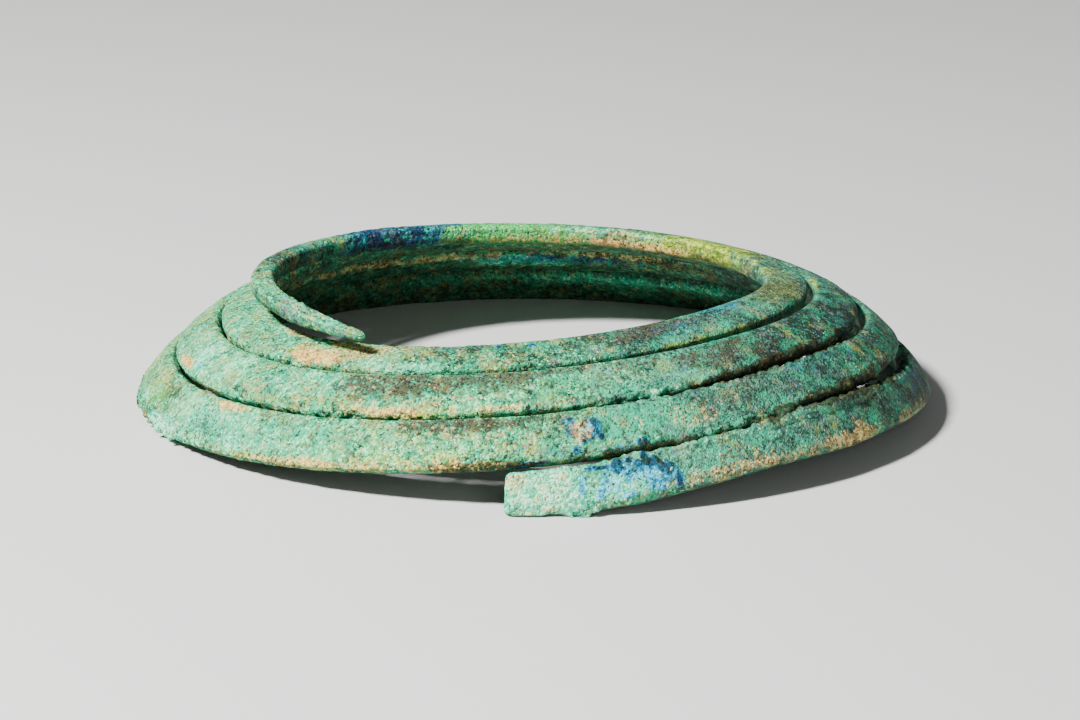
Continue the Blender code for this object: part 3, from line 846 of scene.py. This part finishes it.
class Paint:
    """A material whose nodes are made in a few words."""

    def __init__(self, name):
        self.material = bpy.data.materials.new(name)
        self.material.use_nodes = True
        self.nodes = self.material.node_tree.nodes
        self.links = self.material.node_tree.links
        self.shader = self.nodes["Principled BSDF"]

    def connect(self, value, socket):
        if isinstance(value, Value):
            self.links.new(value.socket, socket)
        else:
            socket.default_value = value

    def node(self, kind, settings=None, inputs=None, output=0):
        made = self.nodes.new(kind)
        for setting, value in (settings or {}).items():
            if setting == "stops":
                self.set_stops(made.color_ramp.elements, value)
            else:
                setattr(made, setting, value)
        for name, value in (inputs or {}).items():
            self.connect(value, made.inputs[name])
        return Value(self, made.outputs[output])

    @staticmethod
    def set_stops(elements, stops):
        """The colours of a ramp and where they stand on it."""
        for _ in range(len(stops) - len(elements)):
            elements.new(1.0)
        for element, (position, shade) in zip(elements, stops):
            element.position = position
            element.color = shade

    def ramp(self, stops, tone):
        """The colour that stands at a tone among the stops."""
        return self.node("ShaderNodeValToRGB", {"stops": stops}, {"Fac": tone})

    def mix(self, under, over, share):
        """One colour laid over another."""
        return self.node("ShaderNodeMix", {"data_type": "RGBA"}, {0: share, 6: under, 7: over}, 2)

    def split(self, whole):
        """The three numbers that make up a colour."""
        return [self.node("ShaderNodeSeparateColor", None, {"Color": whole}, part) for part in range(3)]

    def layer(self, name):
        """The four numbers of a colour layer of the mesh."""
        settings = {"attribute_name": name}
        return self.split(self.node("ShaderNodeAttribute", settings)) + [
            self.node("ShaderNodeAttribute", settings, None, "Alpha")
        ]

    def place(self):
        """The point on the object, in millimetres."""
        point = self.node("ShaderNodeTexCoord", None, None, "Object")
        return self.node("ShaderNodeVectorMath", {"operation": "SCALE"}, {0: point, "Scale": 1.0 / MM})

    def noise(self, place, size_mm, detail, roughness, shift, output):
        settings = {"noise_dimensions": "4D"}
        inputs = {"Vector": place, "W": shift, "Scale": 1.0 / size_mm}
        inputs.update({"Detail": detail, "Roughness": roughness})
        return self.node("ShaderNodeTexNoise", settings, inputs, output)

    def streaks(self, size_mm, stretch):
        """Unevenness from 0 to 1 that is drawn out along the strip."""
        place = self.node("ShaderNodeAttribute", {"attribute_name": STRIP_PLACE}, None, "Vector")
        inputs = {0: place, 1: (1.0 / stretch, 1.0, 1.0)}
        drawn_out = self.node("ShaderNodeVectorMath", {"operation": "MULTIPLY"}, inputs)
        return (self.noise(drawn_out, size_mm, 4.0, 0.6, 3.0, 0) - 0.5) * NOISE_SPREAD + 0.5

    def three_clouds(self, place, size_mm, shift):
        """Three kinds of unevenness from 0 to 1 that don't follow each other."""
        parts = self.split(self.noise(place, size_mm, 4.0, 0.65, shift, "Color"))
        return [(part - 0.5) * NOISE_SPREAD + 0.5 for part in parts]

    def grains(self, place, size_mm):
        """Closely packed grains: the height of each as a little dome, and three numbers of its own."""
        inputs = {"Vector": place, "Scale": 1.0 / size_mm}
        dome = 1.0 - self.node("ShaderNodeTexVoronoi", None, inputs, "Distance")
        return dome, self.split(self.node("ShaderNodeTexVoronoi", None, inputs, "Color"))

    def stirred(self, place, size_mm, reach_mm):
        """The same place moved a little to and fro, so that the grains get ragged borders."""
        inputs = {"Vector": place, "Scale": 1.0 / size_mm, "Detail": 2.0}
        stir = self.node("ShaderNodeTexNoise", None, inputs, "Color")
        inputs = {0: stir, 1: (reach_mm,) * 3, 2: place}
        return self.node("ShaderNodeVectorMath", {"operation": "MULTIPLY_ADD"}, inputs)

    def bump(self, height, strength, distance_mm):
        inputs = {"Height": height, "Strength": strength, "Distance": distance_mm * MM}
        return self.node("ShaderNodeBump", None, inputs)


# Colours of the corrosion. A list goes from its darkest tone to its palest.
MALACHITE = [
    (0.14, colour(24, 54, 42)),
    (0.34, colour(48, 104, 78)),
    (0.52, colour(54, 162, 104)),
    (0.68, colour(76, 230, 150)),
    (0.86, colour(146, 254, 190)),
]
SMOOTH_GREEN = [
    (0.10, colour(30, 50, 42)),
    (0.34, colour(50, 80, 68)),
    (0.52, colour(58, 104, 88)),
    (0.70, colour(64, 132, 108)),
    (0.90, colour(90, 180, 140)),
]
FROST = [
    (0.28, colour(44, 132, 112)),
    (0.48, colour(16, 208, 162)),
    (0.66, colour(36, 252, 202)),
    (0.86, colour(164, 254, 214)),
]
WHITE_GREEN = colour(188, 252, 194)
TEAL = colour(0, 184, 134)
PIT = colour(26, 42, 34)
SEA = [
    (0.14, colour(8, 34, 64)),
    (0.32, colour(8, 68, 114)),
    (0.52, colour(10, 98, 142)),
    (0.76, colour(40, 140, 164)),
]
OCHRE = [
    (0.20, colour(96, 84, 60)),
    (0.42, colour(186, 146, 84)),
    (0.62, colour(250, 198, 104)),
    (0.84, colour(254, 238, 156)),
]
SAND = colour(222, 212, 122)
PEACH = colour(250, 186, 98)
CREAM = [
    (0.20, colour(76, 108, 16)),
    (0.50, colour(142, 172, 18)),
    (0.80, colour(210, 226, 48)),
]
BROWN = colour(98, 84, 38)
DARK_BROWN = colour(40, 38, 18)
UMBER = colour(78, 74, 56)
MAUVE = colour(120, 116, 118)
OLIVE = [
    (0.20, colour(54, 58, 32)),
    (0.50, colour(92, 98, 52)),
    (0.80, colour(136, 144, 80)),
]
GRASS = colour(72, 204, 88)
# Near black: dirt at the strip's edges, and painted shade on the inner face
DIRT_AND_PAINTED_SHADE = colour(14, 20, 10)
AZURITE = [
    (0.12, colour(6, 16, 34)),
    (0.30, colour(2, 46, 82)),
    (0.46, colour(4, 84, 122)),
    (0.62, colour(16, 136, 172)),
    (0.82, colour(104, 222, 238)),
]
TAN_GREEN = colour(164, 168, 84)
DUSTY_BLUE = colour(84, 134, 140)


def patina():
    """Crusts of many colours laid over each other, thicker where the colour layers say so."""
    paint = Paint("patina")
    azurite, frost, ochre, cream = paint.layer("corrosion_one")
    rust, umber, verdigris, olive = paint.layer("corrosion_two")
    smooth, crusted, stand, edge = paint.layer("corrosion_three")
    outside, painted_shade, grass, sea = paint.layer("corrosion_four")

    place = paint.place()
    coarse = paint.three_clouds(place, 1.9, 5.0)
    stains = paint.three_clouds(place, 4.2, 17.0)
    ragged = paint.stirred(place, 0.4, 0.5)
    grain_dome, grain = paint.grains(ragged, 0.58)
    speck_dome, speck = paint.grains(ragged, 0.30)
    streak = paint.streaks(0.9, 6.0)

    # How pale the green is, darker where shade is painted, and how pale the blue is
    tone = coarse[0] * 0.45 + grain[0] * 0.42 + speck[0] * 0.4 + stand * 0.3 + stains[0] * 0.2 - 0.39
    tone = tone + frost * 0.15 - umber * 0.28 - painted_shade * 0.35 + (streak - 0.5) * (smooth * 0.3 + 0.08)
    blue_tone = coarse[2] * 0.55 + grain[2] * 0.25 + speck[1] * 0.2 + frost * 0.4
    blue_tone = blue_tone - azurite.above(0.7, 1.0) * 0.3

    base = paint.mix(paint.ramp(MALACHITE, tone), paint.ramp(SMOOTH_GREEN, tone), smooth)
    brown_share = (speck[2] * 0.5 + coarse[0] * 0.5 - smooth * 0.2).above(0.4, 0.6)
    brown = paint.mix(DARK_BROWN, BROWN, brown_share)

    # Where the small specks of each colour are thick enough to show
    sea_share = sea + coarse[2] * 0.5 + streak * 0.2 + speck[0] * 0.3 + stains[2] * 0.2
    teal_share = grain[2] + verdigris * 0.45 + coarse[1] * 0.35 - smooth * 0.18 - sea * 0.1
    blue_share = azurite + grain[0] * 0.3 + coarse[1] * 0.35
    ochre_share = ochre + coarse[1] * 0.5 + grain[1] * 0.35 + speck[1] * 0.25 - azurite * 0.3
    sand_share = grain[1] + ochre * 0.15 + cream * 0.1 + coarse[2] * 0.35
    sand_share = sand_share - smooth * 0.1 - azurite * 0.15 - sea * 0.2
    peach_share = speck[1] + ochre * 0.25 + cream * 0.1 + coarse[2] * 0.3
    peach_share = peach_share - smooth * 0.1 - azurite * 0.1 - frost * 0.08 - sea * 0.2
    sparkle = speck[0] + frost * 0.1 + stand * 0.2
    sparkle = sparkle - smooth * 0.03 - rust * 0.2 - azurite * 0.1 - umber * 0.15 - sea * 0.12
    hollow = edge * 0.7 + (1.0 - coarse[1]) * 0.3 - crusted * 0.3

    # From the lowest to the topmost: the colour, and how much of it covers what lies below
    crusts = [
        (TAN_GREEN, (stains[1] + speck[2] * 0.3 - smooth * 0.2).above(0.54, 0.95) * 0.8),
        (TEAL, (stains[2] + speck[1] * 0.3 + verdigris * 0.1).above(0.6, 0.95) * 0.55),
        (DUSTY_BLUE, (coarse[2] + grain[2] * 0.3).above(0.78, 1.0) * 0.4),
        (paint.ramp(OLIVE, tone), (olive + coarse[1] * 0.4).above(0.25, 1.2) * 0.9),
        (GRASS, (grass + coarse[0] * 0.5 + speck[1] * 0.3).above(0.5, 1.4) * 0.8),
        (UMBER, (umber + grain[1] * 0.4).above(0.35, 1.0) * 0.8),
        (paint.ramp(CREAM, tone), (cream + coarse[0] * 0.5 + speck[1] * 0.4).above(0.6, 1.3) * 0.95),
        (paint.ramp(FROST, tone), (frost + coarse[1] * 0.6 + speck[2] * 0.5).above(0.7, 1.5) * 0.85),
        (WHITE_GREEN, (frost * 0.6 + coarse[2] * 0.4 + speck[1] * 0.4).above(0.8, 1.15) * 0.7),
        (paint.ramp(SEA, tone), sea_share.above(0.8, 1.4) * 0.9),
        (TEAL, teal_share.above(1.0, 1.1) * 0.8),
        (MAUVE, (speck[1] + coarse[2] * 0.45).above(1.1, 1.2) * 0.6),
        (paint.ramp(AZURITE, blue_tone), blue_share.above(0.78, 1.0) * 0.92),
        (brown, (rust + grain[0] * 0.5).above(0.55, 0.85) * 0.9),
        (paint.ramp(OCHRE, tone), ochre_share.above(0.85, 1.6) * 0.92),
        (SAND, sand_share.above(1.08, 1.2) * (speck[2] * 0.5 + 0.4)),
        (PEACH, peach_share.above(1.14, 1.24) * 0.8),
        (WHITE_GREEN, sparkle.above(1.04, 1.1) * 0.75),
        (PIT, (speck[2] + umber * 0.15 - stand * 0.3 - frost * 0.05).above(0.72, 0.82) * 0.85),
        (DIRT_AND_PAINTED_SHADE, hollow.above(0.4, 0.9) * 0.55),
    ]
    for shade, share in crusts:
        base = paint.mix(base, shade, share)

    # Painted shade: the inner face is darkened towards near black, less where crusts lie
    inner_painted_shade = 0.93 - coarse[0] * 0.4 - ochre * 0.5 - frost * 0.5 - verdigris * 0.25 - olive * 0.3
    base = paint.mix(paint.mix(base, DIRT_AND_PAINTED_SHADE, inner_painted_shade), base, outside)

    rough = 1.0 - smooth * 0.7
    height = (coarse[0] * 0.8 + grain_dome * 0.5) * rough + speck_dome * 0.2 + speck[0] * 0.1
    paint.connect(base, paint.shader.inputs["Base Color"])
    paint.connect(0.86 - smooth * 0.26 + grain[0] * 0.1, paint.shader.inputs["Roughness"])
    paint.connect(paint.bump(height, 1.0, 0.85), paint.shader.inputs["Normal"])
    paint.shader.inputs["Specular IOR Level"].default_value = 0.22
    return paint.material


def floor_paint():
    paint = Paint("pale_floor")
    paint.shader.inputs["Base Color"].default_value = colour(206, 205, 203)
    paint.shader.inputs["Roughness"].default_value = 0.7
    return paint.material


# Floor, lights and camera
FLOOR_SIDE = 3.0
FLOOR_BACK = 5.0

KEY_LIGHT = {"place": (-0.51, -0.37, 0.69), "target": (0.0, 0.0, 0.01), "size": 0.14, "power": 30.0}
FILL_LIGHT = {"place": (0.24, -0.9, 0.22), "target": (0.0, 0.0, 0.0), "size": 0.7, "power": 2.6}
ROOM_LIGHT = (0.9, 0.92, 0.95, 1.0)
ROOM_LIGHT_STRENGTH = 0.10

SENSOR_MM = 36.0
LENS_MM = 153.33
CAMERA_PLACE = (0.001225, -0.785642, 0.234479)
CAMERA_TILT = math.radians(73.85)


def floor():
    side, back = FLOOR_SIDE, FLOOR_BACK
    corners = [(-side, -side, 0), (side, -side, 0), (side, back, 0), (-side, back, 0)]
    mesh = bpy.data.meshes.new("floor")
    mesh.from_pydata(corners, [], [(0, 1, 2, 3)])
    plane = bpy.data.objects.new("floor", mesh)
    plane.data.materials.append(floor_paint())
    bpy.context.scene.collection.objects.link(plane)


def soft_light(name, place, target, size, power):
    lamp = bpy.data.lights.new(name, "AREA")
    lamp.shape = "DISK"
    lamp.size = size
    lamp.energy = power
    light = bpy.data.objects.new(name, lamp)
    light.location = place
    away = light.location - Vector(target)
    light.rotation_euler = away.to_track_quat("Z", "Y").to_euler()
    bpy.context.scene.collection.objects.link(light)


def studio():
    soft_light("key", **KEY_LIGHT)
    soft_light("fill", **FILL_LIGHT)
    world = bpy.data.worlds.new("studio")
    world.use_nodes = True
    room = world.node_tree.nodes["Background"]
    room.inputs["Color"].default_value = ROOM_LIGHT
    room.inputs["Strength"].default_value = ROOM_LIGHT_STRENGTH
    bpy.context.scene.world = world


def camera():
    lens = bpy.data.cameras.new("camera")
    lens.sensor_width = SENSOR_MM
    lens.lens = LENS_MM
    view = bpy.data.objects.new("camera", lens)
    view.location = CAMERA_PLACE
    view.rotation_euler = (CAMERA_TILT, 0.0, 0.0)
    bpy.context.scene.collection.objects.link(view)
    bpy.context.scene.camera = view


camera()
studio()
floor()
finish = patina()
for piece in armlet_pieces():
    piece.data.materials.append(finish)
    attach(piece, "root")
    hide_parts("coiled_armlet")
